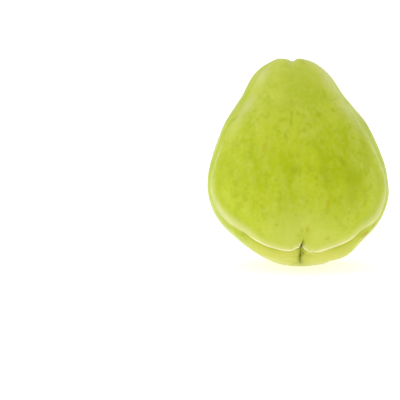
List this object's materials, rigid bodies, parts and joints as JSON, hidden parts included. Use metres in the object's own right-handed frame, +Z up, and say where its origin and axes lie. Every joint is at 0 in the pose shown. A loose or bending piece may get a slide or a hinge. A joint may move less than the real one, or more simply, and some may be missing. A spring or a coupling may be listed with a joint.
{
  "type": "chayote",
  "caption": "Whole pear-shaped chayote with a puckered mouth across its broad end, standing on a small flat spot.",
  "frame": {"origin": "middle of the footprint of the fruit's bounding box, on the surface that it stands on", "axes": "+Z up, roughly from the blossom end to the stem end; -Y out of the front face, the side that the mouth opens towards; +X to the front face's right, along the mouth"},
  "size_m": [0.0966, 0.075, 0.1106],
  "materials": {
    "skin": "satin, faintly waxy"
  },
  "bodies": {
    "root": {"chayote_fruit": "skin"}
  },
  "joints": []
}
